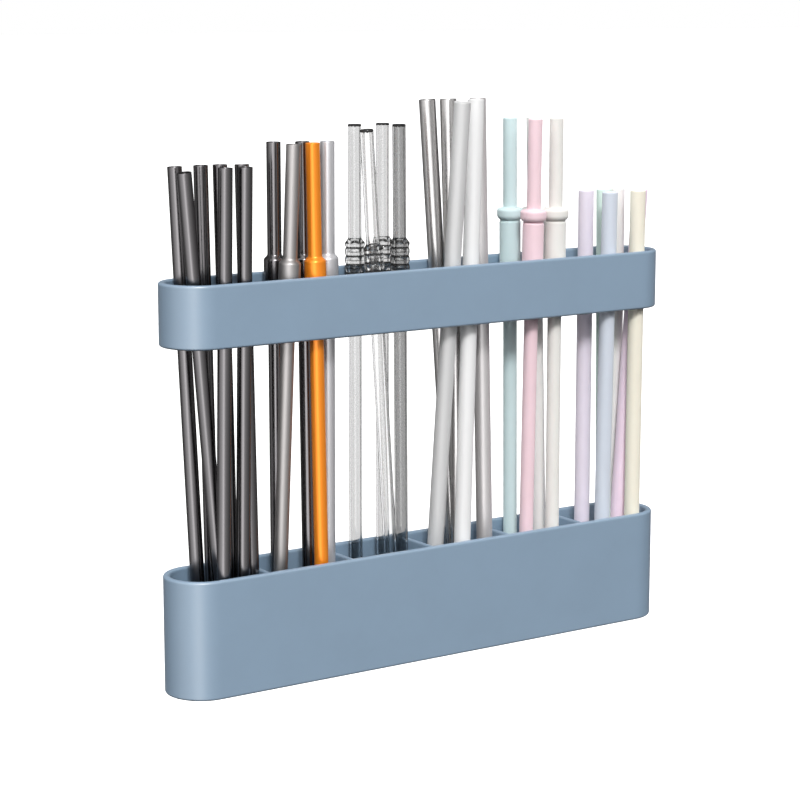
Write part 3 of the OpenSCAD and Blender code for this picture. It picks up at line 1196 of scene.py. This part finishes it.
def make_world(stage):
    """White for the camera and through clear plastic, a glow from above for the lit side of things, and a
    bright front with dark sides and back for what is glossy."""
    world = bpy.data.worlds.new("Studio")
    world.use_nodes = True
    world.node_tree.nodes.clear()
    world.cycles.sampling_method = "NONE"
    sky = Graph(world.node_tree)
    across, depth, rise = sky.separate(sky.node("ShaderNodeTexCoord", {}, {}, "Generated"))
    turn = sky.math("ARCTAN2", across, depth * -1.0) / (2.0 * math.pi) + 0.5
    stops = [((degrees + 180.0) / 360.0, level) for degrees, level in GLOSSY_PANELS]
    panels = sky.node("ShaderNodeValToRGB", {"stops": stops}, {"Fac": turn}, "Color")
    stops = [((math.sin(math.radians(degrees)) + 1.0) / 2.0, level) for degrees, level in SKY_BANDS]
    bands = sky.node("ShaderNodeValToRGB", {"stops": stops}, {"Fac": rise * 0.5 + 0.5}, "Color")
    above = sky.between(rise, low=-0.85, high=-0.35, first=0.15, last=1.0)
    rays = sky.node("ShaderNodeLightPath", {}, {}, "Is Camera Ray")
    through = rays.output("Is Transmission Ray")
    level = (
        rays
        + through * THROUGH_LEVEL
        + rays.output("Is Diffuse Ray") * bands * stage.sky_level
        + rays.output("Is Glossy Ray") * (1.0 - through) * panels * above * stage.panel_level
    )
    light = sky.node("ShaderNodeBackground", {}, {"Color": (1.0, 1.0, 1.0, 1.0), "Strength": level})
    end = world.node_tree.nodes.new("ShaderNodeOutputWorld")
    world.node_tree.links.new(light.socket, end.inputs["Surface"])
    bpy.context.scene.world = world


def make_floor(stage):
    mesh = bpy.data.meshes.new("Floor")
    signs = [(-1, -1), (1, -1), (1, 1), (-1, 1)]
    corners = [(x * FLOOR_REACH, y * FLOOR_REACH, stage.floor_height) for x, y in signs]
    mesh.from_pydata(corners, [], [(0, 1, 2, 3)])
    floor = bpy.data.objects.new("Floor", mesh)
    floor.visible_diffuse = False
    floor.visible_glossy = False
    floor.visible_transmission = False
    bpy.context.scene.collection.objects.link(floor)
    paint = Finish("pale_floor")
    grain = paint.noise(paint.object_place(), scale=6.0, detail=4.0)
    skin = paint.skin(
        {
            "Base Color": paint.shade((0.88, 0.88, 0.88), grain * 0.2 + 0.5),
            "Roughness": grain * 0.1 + 0.7,
            "Emission Color": (1.0, 1.0, 1.0, 1.0),
            "Emission Strength": FLOOR_GLOW,
        }
    )
    mesh.materials.append(skin)


class STRAWHOLDER_PT_panel(bpy.types.Panel):
    """Lists the pieces in the sidebar"""

    bl_idname = "STRAWHOLDER_PT_panel"
    bl_label = "Straw holder"
    bl_space_type = "VIEW_3D"
    bl_region_type = "UI"
    bl_category = "Straw holder"

    def draw(self, context):
        for operator in OPERATORS:
            self.layout.operator(operator.bl_idname)
        for group in GROUPS[:-1]:
            self.layout.label(text=group.__doc__)


OPERATORS = (
    STRAWHOLDER_OT_stage, STRAWHOLDER_OT_trough, STRAWHOLDER_OT_ring, STRAWHOLDER_OT_pads,
    STRAWHOLDER_OT_black_straws, STRAWHOLDER_OT_sleeved_straws, STRAWHOLDER_OT_clear_straws,
    STRAWHOLDER_OT_steel_straws, STRAWHOLDER_OT_tipped_straws, STRAWHOLDER_OT_soft_straws,
)
GROUPS = (
    ShellSizes, BlackStrawSizes, SleevedStrawSizes, ClearStrawSizes, SteelStrawSizes,
    TippedStrawSizes, SoftStrawSizes, FinishColours, StageSettings, HolderSettings,
)


def register():
    for item in (*GROUPS, *OPERATORS, STRAWHOLDER_PT_panel):
        bpy.utils.register_class(item)
    bpy.types.Scene.straw_holder = PointerProperty(type=HolderSettings)


def unregister():
    del bpy.types.Scene.straw_holder
    for item in reversed((*GROUPS, *OPERATORS, STRAWHOLDER_PT_panel)):
        bpy.utils.unregister_class(item)


def main():
    register()
    for operator in OPERATORS:
        name = operator.bl_idname.split(".")[1]
        getattr(bpy.ops.straw_holder, name)()


if __name__ == "__main__":
    main()
